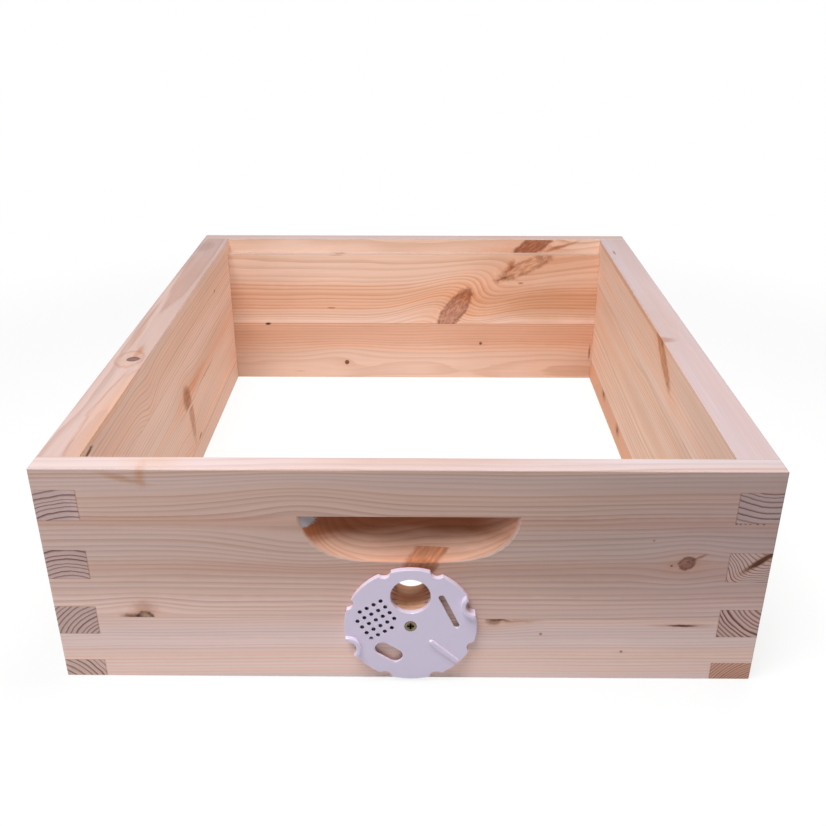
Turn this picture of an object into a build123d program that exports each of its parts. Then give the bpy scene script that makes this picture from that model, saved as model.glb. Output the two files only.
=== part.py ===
from build123d import *
import os
from math import cos, radians, sin

# Pine hive box: four box-jointed walls of edge-glued staves, open above and below, with a turning
# entrance disc screwed to the front wall. Millimetres. X runs across the front, Y from front to back
# and Z up. The origin is the middle of the bottom opening.

# Walls
BOX_WIDTH = 425.0
BOX_LENGTH = 515.0
BOX_HEIGHT = 146.0
BOARD = 25.0
EDGE_ROUND = 0.8

# Box joint, counted down from the top edge. The first finger belongs to the front and back walls, and
# the frame rest is as deep as that finger, so the side walls close the ends of the rest.
TOP_FINGER = 13.5
FINGER = 20.0
LEAST_FINGER = 6.0

# Frame rest: the step along the inner top edge of the front and back walls
REST_WIDTH = 10.0

# Glue lines between the staves of a wall, as heights above the bottom edge
FRONT_GLUE_LINES = [45.0]
BACK_GLUE_LINES = [60.0]
SIDE_GLUE_LINES = [20.0, 62.0, 104.0]

# Handhold scooped into each wall, measured on the wall's outer face; it lies a little to the right there
HOLD_WIDTH = 129.0
HOLD_HEIGHT = 31.0
HOLD_DEPTH = 13.0
HOLD_BELOW_TOP = 30.0
HOLD_OFF_CENTRE = 1.0

# Entrance: a bore through the front wall behind the disc's own hole
ENTRANCE_DIA = 24.0

# Entrance disc
DISC_DIA = 80.0
DISC_THICKNESS = 3.5
DISC_WEB = 1.5
DISC_EDGE_ROUND = 0.4
DISC_OFF_CENTRE = 2.0
DISC_ABOVE_BOTTOM = 2.0
DISC_GAP = 0.2
HOLE_TO_RIM = 6.7
HOLE_EDGE_ROUND = 0.4
COLLAR_WALL = 2.0
BOSS_DIA = 14.0
SKIRT_WALL = 2.5

# Rim notches of the disc, two of them with a raised lip for the fingers
NOTCH_COUNT = 8
NOTCH_RADIUS = 4.2
NOTCH_OUTSET = 1.5
NOTCH_CORNER_ROUND = 0.8
GRIP_NOTCHES = [0, 4]
GRIP_RADIUS = 5.5
GRIP_WALL = 3.0
GRIP_HEIGHT = 2.8
GRIP_ROUND = 1.1

# Fields of the disc, with the angle from the X axis and the distance from the rim to the field's middle.
# The open hole is at the top.
HOLE_ANGLE = 90.0
VENT_ANGLE = 167.5
VENT_TO_RIM = 18.7
VENT_HOLE_DIA = 2.5
VENT_PITCH = 4.95
VENT_ROWS = 5
WIDE_SLOT_ANGLE = 236.0
WIDE_SLOT_LENGTH = 18.4
WIDE_SLOT_WIDTH = 9.5
WIDE_SLOT_TO_RIM = 16.3
NARROW_SLOT_ANGLE = 24.7
NARROW_SLOT_LENGTH = 25.5
NARROW_SLOT_WIDTH = 3.5
NARROW_SLOT_TO_RIM = 14.6
RIB_ANGLE = 318.0
RIB_WIDTH = 3.4
RIB_HEIGHT = 1.6
RIB_ROUND = 1.3
RIB_INNER_RADIUS = 15.4
RIB_TO_EDGE = 0.2

# Countersunk cross-recess screw
SCREW_LENGTH = 20.0
SCREW_DIA = 3.5
SCREW_HEAD_DIA = 7.4
SCREW_HEAD_RIM = 0.4
SCREW_TIP = 4.0
RECESS_SPAN = 4.4
RECESS_WING = 1.25
RECESS_DEPTH = 1.8
RECESS_TAPER = 8.0
PIVOT_CLEARANCE = 0.08
SINK_PLAY = 0.3
PILOT_CLEARANCE = 0.05

# Cutting tools reach this far past the face they start from
OVERCUT = 5.0

# Values worked out from the sizes above
HALF_WIDTH = BOX_WIDTH / 2
HALF_LENGTH = BOX_LENGTH / 2
LIP = BOARD - REST_WIDTH
REST_HEIGHT = BOX_HEIGHT - TOP_FINGER
DISC_RADIUS = DISC_DIA / 2
HOLE_ORBIT = DISC_RADIUS - HOLE_TO_RIM - ENTRANCE_DIA / 2
DISC_HEIGHT = DISC_ABOVE_BOTTOM + DISC_RADIUS
DISC_FACE = DISC_GAP + DISC_THICKNESS
NOTCH_ORBIT = DISC_RADIUS + NOTCH_OUTSET
NOTCH_STEP = 360 / NOTCH_COUNT

# On the front wall, local X runs right, local Y up and local Z out of the wall
ON_FRONT = Location((DISC_OFF_CENTRE, -HALF_LENGTH, DISC_HEIGHT), (90, 0, 0))


def block(low, high):
    """A box between two corners."""
    size = [b - a for a, b in zip(low, high)]
    return Pos(*low) * Box(*size, align=(Align.MIN, Align.MIN, Align.MIN))


def finger_bands():
    """Heights of the joint's bands from the top edge down, front and back walls first, then by turns."""
    bands = [(REST_HEIGHT, BOX_HEIGHT)]
    while bands[-1][0] > 0:
        high = bands[-1][0]
        low = high - FINGER
        bands.append((low if low > LEAST_FINGER else 0, high))
    return bands


def hand_cutter(turn, wall_distance):
    """Spinning cutter of a handhold: flat on top, a quarter ellipse below, turned to face its wall."""
    cutter_radius = (HOLD_WIDTH ** 2 / 4 + HOLD_DEPTH ** 2) / (2 * HOLD_DEPTH)
    stand_off = cutter_radius - HOLD_DEPTH
    inner = stand_off - OVERCUT
    top = BOX_HEIGHT - HOLD_BELOW_TOP
    bottom = top - HOLD_HEIGHT
    scoop = EllipticalCenterArc((stand_off, top), HOLD_DEPTH, HOLD_HEIGHT, start_angle=-90, arc_size=90)
    back = Polyline((cutter_radius, top), (inner, top), (inner, bottom), (stand_off, bottom))
    ring = revolve(Plane.XZ * make_face([scoop, back]), Axis.Z)
    return Rot(0, 0, turn) * Pos(HOLD_OFF_CENTRE, -wall_distance - stand_off, 0) * ring


def end_wall(bands):
    """Front wall without its entrance: fingers, frame rest and handhold. Turned, it is the back wall."""
    inner_face = -HALF_LENGTH + BOARD
    wall = block((-HALF_WIDTH, -HALF_LENGTH, 0), (HALF_WIDTH, inner_face, BOX_HEIGHT))
    for low, high in bands[1::2]:
        wall -= block((-HALF_WIDTH, -HALF_LENGTH, low), (-HALF_WIDTH + BOARD, inner_face, high))
        wall -= block((HALF_WIDTH - BOARD, -HALF_LENGTH, low), (HALF_WIDTH, inner_face, high))
    wall -= block((-HALF_WIDTH, -HALF_LENGTH + LIP, REST_HEIGHT), (HALF_WIDTH, inner_face, BOX_HEIGHT))
    return wall - hand_cutter(0, HALF_LENGTH)


def side_wall(bands):
    """Left wall; its top reaches in behind the lips of the frame rests. Turned, it is the right wall."""
    inner_face = -HALF_WIDTH + BOARD
    wall = block((-HALF_WIDTH, -HALF_LENGTH, 0), (inner_face, HALF_LENGTH, BOX_HEIGHT))
    for low, high in bands[0::2]:
        reach = LIP if high == BOX_HEIGHT else BOARD
        wall -= block((-HALF_WIDTH, -HALF_LENGTH, low), (inner_face, -HALF_LENGTH + reach, high))
        wall -= block((-HALF_WIDTH, HALF_LENGTH - reach, low), (inner_face, HALF_LENGTH, high))
    return wall - hand_cutter(-90, HALF_WIDTH)


def entrance_cuts():
    """The bee entrance and the screw's pilot hole in the front wall."""
    bore_depth = BOARD + 2 * OVERCUT
    bore = Pos(0, HOLE_ORBIT, -BOARD / 2) * Cylinder(ENTRANCE_DIA / 2, bore_depth)
    pilot = screw_body(PILOT_CLEARANCE)
    return ON_FRONT * (bore + pilot)


def staves(wall, glue_lines, name):
    """Cut a wall along its glue lines; staves are numbered from the bottom."""
    heights = [0, *glue_lines, BOX_HEIGHT]
    cut = {}
    for number, (low, high) in enumerate(zip(heights, heights[1:]), start=1):
        slab = block((-BOX_WIDTH, -BOX_LENGTH, low), (BOX_WIDTH, BOX_LENGTH, high))
        cut[f"{name}_stave_{number}"] = wall & slab
    return cut


def polar(radius, angle):
    """Place something on the disc and turn it with its field, so that its local X points outwards."""
    return Pos(radius * cos(radians(angle)), radius * sin(radians(angle)), 0) * Rot(0, 0, angle)


def notch(number):
    """Centre of a rim notch."""
    return polar(NOTCH_ORBIT, NOTCH_STEP * (number + 0.5))


def disc_outline():
    """Round plate with its rim notches, the gripping ones wider."""
    outline = Circle(DISC_RADIUS)
    for number in range(NOTCH_COUNT):
        outline -= notch(number) * Circle(GRIP_RADIUS if number in GRIP_NOTCHES else NOTCH_RADIUS)
    return fillet(outline.vertices(), NOTCH_CORNER_ROUND)


def vent_field():
    """Square grid of small holes without two opposite corners, which lie in line with the screw."""
    middle = (VENT_ROWS - 1) / 2
    corner_outwards = Rot(0, 0, -45)
    field = Sketch()
    for row in range(VENT_ROWS):
        for column in range(VENT_ROWS):
            if row == column and row in (0, VENT_ROWS - 1):
                continue
            spot = Pos((row - middle) * VENT_PITCH, (column - middle) * VENT_PITCH)
            field += corner_outwards * spot * Circle(VENT_HOLE_DIA / 2)
    return polar(DISC_RADIUS - VENT_TO_RIM, VENT_ANGLE) * field


def wide_openings():
    """The openings of the disc that have rounded edges: the bees' hole and the two slots."""
    hole = polar(HOLE_ORBIT, HOLE_ANGLE) * Circle(ENTRANCE_DIA / 2)
    wide = SlotOverall(WIDE_SLOT_LENGTH, WIDE_SLOT_WIDTH, rotation=90)
    narrow = SlotOverall(NARROW_SLOT_LENGTH, NARROW_SLOT_WIDTH, rotation=90)
    wide = polar(DISC_RADIUS - WIDE_SLOT_TO_RIM, WIDE_SLOT_ANGLE) * wide
    narrow = polar(DISC_RADIUS - NARROW_SLOT_TO_RIM, NARROW_SLOT_ANGLE) * narrow
    return hole + wide + narrow


def front_edges(solid, height):
    """Edges of a solid that lie flat at a height."""
    return solid.edges().filter_by_position(Axis.Z, height, height)


def raised_grip(number, outline):
    """Raised lip around a gripping notch."""
    ring = notch(number) * (Circle(GRIP_RADIUS + GRIP_WALL) - Circle(GRIP_RADIUS))
    lip = Pos(0, 0, DISC_WEB) * extrude(ring & outline, DISC_THICKNESS - DISC_WEB + GRIP_HEIGHT)
    return fillet(front_edges(lip, DISC_THICKNESS + GRIP_HEIGHT), GRIP_ROUND)


def closed_field_rib():
    """Raised rib on the field without openings."""
    length = DISC_RADIUS - DISC_EDGE_ROUND - RIB_TO_EDGE - RIB_INNER_RADIUS
    bar = polar(RIB_INNER_RADIUS + length / 2, RIB_ANGLE) * SlotOverall(length, RIB_WIDTH)
    rib = Pos(0, 0, DISC_WEB) * extrude(bar, DISC_THICKNESS - DISC_WEB + RIB_HEIGHT)
    return fillet(front_edges(rib, DISC_THICKNESS + RIB_HEIGHT), RIB_ROUND)


def hollow_back():
    """Shallow hollow behind the disc, inside its skirt and around the boss and the hole's collar."""
    skirt_radius = NOTCH_ORBIT - GRIP_RADIUS - SKIRT_WALL
    hollow = Circle(skirt_radius) - Circle(BOSS_DIA / 2)
    hollow -= polar(HOLE_ORBIT, HOLE_ANGLE) * Circle(ENTRANCE_DIA / 2 + COLLAR_WALL)
    return extrude(hollow, DISC_THICKNESS - DISC_WEB)


def countersink():
    """Running hole and countersink of the disc, with play around the screw."""
    head_radius = SCREW_HEAD_DIA / 2 + PIVOT_CLEARANCE
    hole_radius = SCREW_DIA / 2 + PIVOT_CLEARANCE
    cone_top = DISC_THICKNESS - SCREW_HEAD_RIM - SINK_PLAY
    cone_bottom = cone_top - (head_radius - hole_radius)
    top = DISC_THICKNESS + OVERCUT
    shape = Polyline((0, top), (head_radius, top), (head_radius, cone_top), (hole_radius, cone_bottom),
                     (hole_radius, -OVERCUT), (0, -OVERCUT), close=True)
    return revolve(Plane.XZ * make_face(shape), Axis.Z)


def entrance_disc():
    """Moulded disc, its back on local Z = 0."""
    outline = disc_outline()
    plate = extrude(outline, DISC_THICKNESS)
    plate -= extrude(wide_openings(), DISC_THICKNESS)
    face = plate.faces().sort_by(Axis.Z)[-1]
    plate = fillet(face.outer_wire().edges(), DISC_EDGE_ROUND)
    face = plate.faces().sort_by(Axis.Z)[-1]
    plate = fillet(face.inner_wires().edges(), HOLE_EDGE_ROUND)
    plate -= extrude(vent_field(), DISC_THICKNESS)
    for number in GRIP_NOTCHES:
        plate += raised_grip(number, outline)
    plate += closed_field_rib()
    return plate - hollow_back() - countersink()


def screw_body(clearance):
    """Screw without its recess, its head flush with the disc's face, grown by a clearance."""
    head_radius = SCREW_HEAD_DIA / 2 + clearance
    shank_radius = SCREW_DIA / 2 + clearance
    rim = DISC_FACE - SCREW_HEAD_RIM
    tip = DISC_FACE - SCREW_LENGTH - clearance
    shape = Polyline((0, DISC_FACE), (head_radius, DISC_FACE), (head_radius, rim),
                     (shank_radius, rim - (head_radius - shank_radius)), (shank_radius, tip + SCREW_TIP),
                     (0, tip), close=True)
    return revolve(Plane.XZ * make_face(shape), Axis.Z)


def disc_screw():
    """Countersunk screw with a cross recess."""
    cross = Rectangle(RECESS_SPAN, RECESS_WING) + Rectangle(RECESS_WING, RECESS_SPAN)
    recess = extrude(Pos(0, 0, DISC_FACE) * cross, -RECESS_DEPTH, taper=RECESS_TAPER)
    return screw_body(0) - recess


bands = finger_bands()
outer_block = block((-HALF_WIDTH, -HALF_LENGTH, 0), (HALF_WIDTH, HALF_LENGTH, BOX_HEIGHT))
outer_shape = fillet(outer_block.edges(), EDGE_ROUND)
end = end_wall(bands) & outer_shape
side = side_wall(bands) & outer_shape
half_turn = Rot(0, 0, 180)

pieces = {
    **staves(end - entrance_cuts(), FRONT_GLUE_LINES, "front"),
    **staves(half_turn * end, BACK_GLUE_LINES, "back"),
    **staves(side, SIDE_GLUE_LINES, "left"),
    **staves(half_turn * side, SIDE_GLUE_LINES, "right"),
    "entrance_disc": ON_FRONT * Pos(0, 0, DISC_GAP) * entrance_disc(),
    "disc_screw": ON_FRONT * disc_screw(),
}

os.makedirs("parts", exist_ok=True)
for name, piece in pieces.items():
    export_step(piece, f"parts/{name}.step")
    size = piece.bounding_box().size
    print(f"{name}: {size.X:.1f} x {size.Y:.1f} x {size.Z:.1f} mm, {piece.volume / 1000:.1f} cm3")
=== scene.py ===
# %% [markdown]
# # A pine hive box with a turning entrance disc
# The box is four walls of edge-glued pine staves, open above and below, with box-jointed corners. A white
# plastic disc turns on one screw over the bees' entrance. The packed model already has every shape at its
# real size, so this lesson is about finishes: pine that is cut from round logs, knots that the grain flows
# around, moulded plastic and yellow zinc. First the model is loaded and its size is printed.

# %% Load the model
from dataclasses import dataclass, field
from math import pi, radians

import bpy
from mathutils import Matrix, Vector


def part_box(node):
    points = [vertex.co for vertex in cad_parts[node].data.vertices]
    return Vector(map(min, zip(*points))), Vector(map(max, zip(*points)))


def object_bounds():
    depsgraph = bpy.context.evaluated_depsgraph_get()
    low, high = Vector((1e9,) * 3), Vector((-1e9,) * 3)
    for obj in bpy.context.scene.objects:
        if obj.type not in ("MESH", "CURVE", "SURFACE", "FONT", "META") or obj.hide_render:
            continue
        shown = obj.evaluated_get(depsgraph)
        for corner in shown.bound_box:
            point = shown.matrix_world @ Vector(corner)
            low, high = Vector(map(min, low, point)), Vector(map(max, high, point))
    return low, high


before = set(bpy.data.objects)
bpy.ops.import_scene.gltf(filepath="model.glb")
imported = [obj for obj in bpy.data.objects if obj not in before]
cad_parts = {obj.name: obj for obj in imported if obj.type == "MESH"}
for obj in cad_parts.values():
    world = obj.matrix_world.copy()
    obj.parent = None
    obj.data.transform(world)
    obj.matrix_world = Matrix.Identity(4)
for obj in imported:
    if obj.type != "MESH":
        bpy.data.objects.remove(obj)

MM = 0.001
model_low, model_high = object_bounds()
print("model is", [round(side / MM, 1) for side in model_high - model_low], "mm")

# %% [markdown]
# ## The camera
# The photograph looks at the front wall from a little above. Its focal length and place were worked out from
# the box's corners, so the camera is written as a place and three turns. A camera could also be aimed with a
# constraint, but plain turns keep the small roll of the picture. The sensor is as wide as the picture, which
# is square, and a small shift puts the box as low in the frame as it is in the photograph.

# %% Camera
PICTURE_SIDE = 826
FOCAL_PIXELS = 980.3
SENSOR_WIDTH = 36.0
EYE = Vector((7.37, -739.47, 400.40)) * MM
TURN_RIGHT, LOOK_DOWN, ROLL = radians(-0.473), radians(27.256), radians(0.030)
OPTICAL_CENTRE_ROW = 460.7

camera_data = bpy.data.cameras.new("camera")
camera_data.sensor_width = SENSOR_WIDTH
camera_data.lens = FOCAL_PIXELS / PICTURE_SIDE * SENSOR_WIDTH
camera_data.shift_y = (OPTICAL_CENTRE_ROW - PICTURE_SIDE / 2) / PICTURE_SIDE
camera = bpy.data.objects.new("camera", camera_data)
bpy.context.scene.collection.objects.link(camera)
heading = Matrix.Rotation(-TURN_RIGHT, 4, "Z")
tilt = Matrix.Rotation(pi / 2 - LOOK_DOWN, 4, "X")
camera.matrix_world = Matrix.Translation(EYE) @ heading @ tilt @ Matrix.Rotation(ROLL, 4, "Z")
bpy.context.scene.camera = camera
print("lens", round(camera_data.lens, 1), "mm, shift", round(camera_data.shift_y, 3))

# %% [markdown]
# ## A bench for nodes
# Every finish here is a tree of nodes. Making nodes by hand takes many lines, so this small bench has one
# short call for each kind of node that the finishes need. A call takes numbers or the outputs of other
# nodes, and gives back the output that carries its answer, so a finish reads like arithmetic. The first half
# of the bench adds nodes and reckons with numbers and places.

# %% Reckoning with nodes
class Reckoning:
    """Short calls that add nodes to one tree and reckon with numbers and places."""

    def __init__(self, tree):
        self.tree = tree

    def node(self, kind, feeds, **settings):
        """Add a node, set it up and feed its inputs, which are given by name or by number."""
        made = self.tree.nodes.new(kind)
        for name, value in settings.items():
            setattr(made, name, value)
        for key, value in feeds.items():
            self.feed(made.inputs[key], value)
        return made

    def feed(self, socket, value):
        """Link an output to an input, or set the input's own value."""
        if isinstance(value, bpy.types.NodeSocket):
            self.tree.links.new(value, socket)
        elif socket.type == "RGBA":
            socket.default_value = (*value, 1.0)
        else:
            socket.default_value = value

    def math(self, operation, a, b=0.0, c=0.0):
        feeds = {0: a, 1: b, 2: c}
        return self.node("ShaderNodeMath", feeds, operation=operation).outputs[0]

    def vector(self, operation, a, b=(0.0, 0.0, 0.0)):
        return self.node("ShaderNodeVectorMath", {0: a, 1: b}, operation=operation).outputs["Vector"]

    def measure(self, operation, a, b=(0.0, 0.0, 0.0)):
        return self.node("ShaderNodeVectorMath", {0: a, 1: b}, operation=operation).outputs["Value"]

    def scaled(self, a, amount):
        feeds = {0: a, "Scale": amount}
        return self.node("ShaderNodeVectorMath", feeds, operation="SCALE").outputs["Vector"]

    def split(self, a):
        return self.node("ShaderNodeSeparateXYZ", {0: a}).outputs

    def join(self, x, y, z):
        return self.node("ShaderNodeCombineXYZ", {0: x, 1: y, 2: z}).outputs[0]


print("reckoning calls", [name for name in vars(Reckoning) if not name.startswith("_")])

# %% [markdown]
# ## The second half of the bench
# A finish is mostly made of soft steps, noise and mixed colours. Colour ramps could give the steps, but their
# stops are hard to read in a script, so a step is written here with the two values between which it rises.

# %% Shaping values and colours
class Bench(Reckoning):
    """The whole bench, with calls that shape values, make noise and mix colours."""

    def soft_step(self, value, low, high):
        """0 at low and 1 at high, with soft ends. With low above high it falls instead."""
        feeds = {"Value": value, "From Min": low, "From Max": high}
        made = self.node("ShaderNodeMapRange", feeds, interpolation_type="SMOOTHSTEP")
        return made.outputs["Result"]

    def between(self, value, low, high):
        """Stretch 0 to 1 into low to high."""
        feeds = {"Value": value, "To Min": low, "To Max": high}
        return self.node("ShaderNodeMapRange", feeds, clamp=False).outputs["Result"]

    def noise(self, place, detail=2.0, roughness=0.5):
        feeds = {"Vector": place, "Scale": 1.0, "Detail": detail, "Roughness": roughness}
        return self.node("ShaderNodeTexNoise", feeds).outputs[0]

    def centred(self, value, amount=1.0):
        """Move 0 to 1 so that it lies about zero, as strong as asked."""
        return self.math("MULTIPLY", self.math("SUBTRACT", value, 0.5), amount)

    def mix(self, amount, a, b, how="MIX"):
        feeds = {0: amount, 6: a, 7: b}
        return self.node("ShaderNodeMix", feeds, data_type="RGBA", blend_type=how).outputs[2]

    def tinted(self, amount, colour, tint):
        """Multiply a colour by a tint, by some amount."""
        return self.mix(amount, colour, self.mix(1.0, colour, tint, "MULTIPLY"))

    def group(self, tree, feeds):
        made = self.node("ShaderNodeGroup", {}, node_tree=tree)
        for name, value in feeds.items():
            self.feed(made.inputs[name], value)
        return made.outputs


print("shaping calls", [name for name in vars(Bench) if not name.startswith("_")])

# %% [markdown]
# ## New groups and materials
# A group is a tree with inputs and outputs of its own, like a small tool that many boards can share. A
# material is a tree that ends in a surface shader. Both start the same way each time, so two functions make
# them. The trees could be copied from a ready file, but a lesson is easier to follow from bare trees.

# %% Groups and materials
SOCKETS = {"number": "NodeSocketFloat", "place": "NodeSocketVector", "colour": "NodeSocketColor"}


def new_group(name, inputs, outputs):
    """An empty node group with named sockets, as a bench, its given values and its answer node."""
    tree = bpy.data.node_groups.new(name, "ShaderNodeTree")
    for socket, kind in inputs.items():
        tree.interface.new_socket(socket, in_out="INPUT", socket_type=SOCKETS[kind])
    for socket, kind in outputs.items():
        tree.interface.new_socket(socket, in_out="OUTPUT", socket_type=SOCKETS[kind])
    given = tree.nodes.new("NodeGroupInput").outputs
    answer = tree.nodes.new("NodeGroupOutput").inputs
    return Bench(tree), given, answer


def new_material(name):
    """A bare material, as a bench and its surface shader."""
    material = bpy.data.materials.new(name)
    material.use_nodes = True
    bench = Bench(material.node_tree)
    shader = material.node_tree.nodes["Principled BSDF"]
    return material, bench, shader


print("socket kinds", list(SOCKETS))

# %% [markdown]
# ## Floor and background
# The photograph is a product picture on white. A white sweep of paper could be modelled, but a flat floor
# and a white world look the same here. The floor answers the camera with a bright white that keeps a part
# of the real shadow, and it answers the light with plain pale paper, so that the box gets its glow from
# below without a glare.

# %% Floor material
FLOOR_COLOUR = (0.72, 0.72, 0.72)
FLOOR_ROUGHNESS = 0.9
WHITE = (1.0, 1.0, 1.0)
SHADOW_KEPT = 0.18
SHADOW_FADE = (0.85, 0.45)


def seen_directly(bench):
    """1 for rays that show the background itself, in the picture, in a reflection or through glass."""
    path = bench.node("ShaderNodeLightPath", {}).outputs
    shown = bench.math("MAXIMUM", path["Is Camera Ray"], path["Is Glossy Ray"])
    return bench.math("MAXIMUM", shown, path["Is Transmission Ray"])


def floor_material():
    """Pale paper for the light, and white with a faint shadow near the box for the camera."""
    material, bench, shader = new_material("white_floor")
    bench.feed(shader.inputs["Base Color"], bench.mix(seen_directly(bench), FLOOR_COLOUR, WHITE))
    bench.feed(shader.inputs["Roughness"], FLOOR_ROUGHNESS)
    bench.feed(shader.inputs["Specular IOR Level"], 0.0)
    glow = bench.node("ShaderNodeEmission", {"Color": WHITE, "Strength": 1.0}).outputs[0]
    point = bench.node("ShaderNodeTexCoord", {}).outputs["Object"]
    nearby = bench.soft_step(bench.measure("LENGTH", point), *SHADOW_FADE)
    whiter = bench.math("MULTIPLY", seen_directly(bench), bench.between(nearby, 1.0, 1.0 - SHADOW_KEPT))
    mixed = bench.node("ShaderNodeMixShader", {0: whiter, 1: shader.outputs[0], 2: glow}).outputs[0]
    bench.feed(material.node_tree.nodes["Material Output"].inputs["Surface"], mixed)
    return material


white_floor = floor_material()
print("floor material", white_floor.name)

# %% Floor and world
FLOOR_HALF = 4.0
FLOOR_DROP = 0.1 * MM
SKY_STRENGTH = 0.02

floor_mesh = bpy.data.meshes.new("floor")
corners = [(FLOOR_HALF * x, FLOOR_HALF * y, 0) for x, y in ((-1, -1), (1, -1), (1, 1), (-1, 1))]
floor_mesh.from_pydata(corners, [], [(0, 1, 2, 3)])
floor_mesh.materials.append(white_floor)
floor = bpy.data.objects.new("floor", floor_mesh)
floor.location.z = model_low.z - FLOOR_DROP
bpy.context.scene.collection.objects.link(floor)

world = bpy.data.worlds.new("white_room")
world.use_nodes = True
sky = Bench(world.node_tree)
brightness = sky.between(seen_directly(sky), SKY_STRENGTH, 1.0)
background = world.node_tree.nodes["Background"]
sky.feed(background.inputs["Color"], WHITE)
sky.feed(background.inputs["Strength"], brightness)
bpy.context.scene.world = world
bpy.context.scene.view_settings.view_transform = "Standard"
print("floor at", round(floor.location.z / MM, 2), "mm")

# %% [markdown]
# ## Light
# The shadows in the photograph are soft and the inside of the box is almost as bright as its rims, so the
# light comes from large soft lamps above. Sun lamps would give hard edges. Two square softboxes are enough:
# the stronger one hangs in front of the box, a little to the left, and the weaker one above it, a little to
# the right.

# %% Lamps
BOX_MIDDLE = (0.0, 0.0, 0.08)


def softbox(name, place, side, power):
    """A square area lamp that faces the middle of the box."""
    data = bpy.data.lights.new(name, "AREA")
    data.shape = "SQUARE"
    data.size = side
    data.energy = power
    lamp = bpy.data.objects.new(name, data)
    lamp.location = place
    lamp.rotation_euler = (Vector(BOX_MIDDLE) - Vector(place)).to_track_quat("-Z", "Y").to_euler()
    bpy.context.scene.collection.objects.link(lamp)
    return lamp


lamps = [
    softbox("softbox_above", place=(0.20, 0.0, 1.10), side=0.50, power=6.6),
    softbox("softbox_front", place=(-0.30, -0.58, 1.30), side=0.60, power=15.6),
]
print("lamps", [(lamp.name, lamp.data.energy) for lamp in lamps])

# %% [markdown]
# ## Where a point lies in its board
# Grain runs along a board, so a finish has to know which way its board lies. Each wall gets the same three
# measures in millimetres: along the wall, up from the bottom edge, and in from the wall's outer face. Texture
# coordinates could be unwrapped by hand instead, but solid measures also reach the end grain, the handhold
# and the fingers, where a flat picture of wood would break off.

# %% Board measures
@dataclass
class Wall:
    """A wall's directions and half sizes, how its corner joint starts, and how much its glue lines show."""
    along: tuple
    inwards: tuple
    outer: float
    half_run: float
    finger_shift: float
    top_step: float
    glue_shown: float


front_low, front_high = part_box("front_stave_1")
half_width = front_high.x / MM
half_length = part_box("left_stave_1")[1].y / MM
BOARD = round((front_high.y - front_low.y) / MM, 3)
TOP = round(model_high.z / MM, 3)
FINGER = 20.0
FIRST_STEP = 12.5
TOP_STEP = FIRST_STEP + 6 * FINGER
LIP = 15.0
END_WALL = {"outer": half_length, "half_run": half_width, "finger_shift": 0.0, "top_step": BOARD}
SIDE_WALL = {"outer": half_width, "half_run": half_length, "finger_shift": FINGER, "top_step": LIP}
WALLS = {
    "front": Wall((1, 0, 0), (0, 1, 0), glue_shown=0.35, **END_WALL),
    "back": Wall((1, 0, 0), (0, -1, 0), glue_shown=0.85, **END_WALL),
    "left": Wall((0, 1, 0), (1, 0, 0), glue_shown=0.45, **SIDE_WALL),
    "right": Wall((0, 1, 0), (-1, 0, 0), glue_shown=0.40, **SIDE_WALL),
}
print("boards are", BOARD, "mm thick, the walls", TOP, "mm high, the lips", LIP, "mm thick")

# %% Places and directions
FACING_FROM, FACING_FULL = 0.55, 0.85


def board_place(bench, wall):
    """The point being shaded as (along, up, in), in millimetres."""
    coordinates = bench.node("ShaderNodeTexCoord", {}).outputs
    point = bench.scaled(coordinates["Object"], 1 / MM)
    along = bench.measure("DOT_PRODUCT", point, wall.along)
    up = bench.split(point)["Z"]
    inwards = bench.math("ADD", bench.measure("DOT_PRODUCT", point, wall.inwards), wall.outer)
    return bench.join(along, up, inwards)


def faces(bench, direction):
    """1 where the surface looks along a direction or against it, 0 where it runs beside it."""
    coordinates = bench.node("ShaderNodeTexCoord", {}).outputs
    facing = bench.measure("DOT_PRODUCT", coordinates["Normal"], direction)
    return bench.soft_step(bench.math("ABSOLUTE", facing), FACING_FROM, FACING_FULL)


print("a face counts in full from", FACING_FULL, "of straight on")

# %% [markdown]
# ## Knots
# A knot is the foot of a branch that the trunk grew around. It is a round rod that crosses the board, redder
# and harder than the wood, with a dark skin, and the grain parts to flow past it. One could paint a brown
# spot, but a rod in solid measures shows on every face that cuts it, round on one and long on the next. The
# group below gives the rod's colour masks, and a shift that bends the grain before the rings are drawn.

# %% Rod of a knot
LOBE_SCALE, LOBE_DEPTH = 0.16, 0.55
NIBBLE_SCALE, NIBBLE_DEPTH = 0.65, 0.22


@dataclass
class Rod:
    """Where a point lies beside a knot's rod, and the rod's ragged edge, which is 1 on its outline."""
    away: object
    lengthways: object
    across: object
    from_axis: object
    lobes: object
    edge: object


def find_rod(bench, given):
    """Measure a point from the rod's middle line, and wear the rod's outline ragged."""
    away = bench.vector("SUBTRACT", given["Place"], given["Centre"])
    depth = bench.measure("DOT_PRODUCT", away, given["Axis"])
    lengthways = bench.scaled(given["Axis"], depth)
    across = bench.vector("SUBTRACT", away, lengthways)
    from_axis = bench.measure("LENGTH", across)
    lobes = bench.centred(bench.noise(bench.scaled(given["Place"], LOBE_SCALE)))
    nibbles = bench.centred(bench.noise(bench.scaled(given["Place"], NIBBLE_SCALE)))
    edge = bench.math("DIVIDE", from_axis, given["Radius"])
    edge = bench.math("MULTIPLY_ADD", nibbles, NIBBLE_DEPTH, edge)
    edge = bench.math("MULTIPLY_ADD", lobes, LOBE_DEPTH, edge)
    return Rod(away, lengthways, across, from_axis, lobes, edge)


print("knot outlines wander by", LOBE_DEPTH / 2, "of the radius")

# %% Wood of a knot
KNOT_RING = 2.8
RING_WARP = 9.0
FIBRE_ACROSS, FIBRE_ALONG = 0.50, 0.05
STREAK_FROM, STREAK_FULL = 0.33, 0.67
STREAK_SHARE = 0.75
RING_SHADES = (0.12, 0.24)


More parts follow.
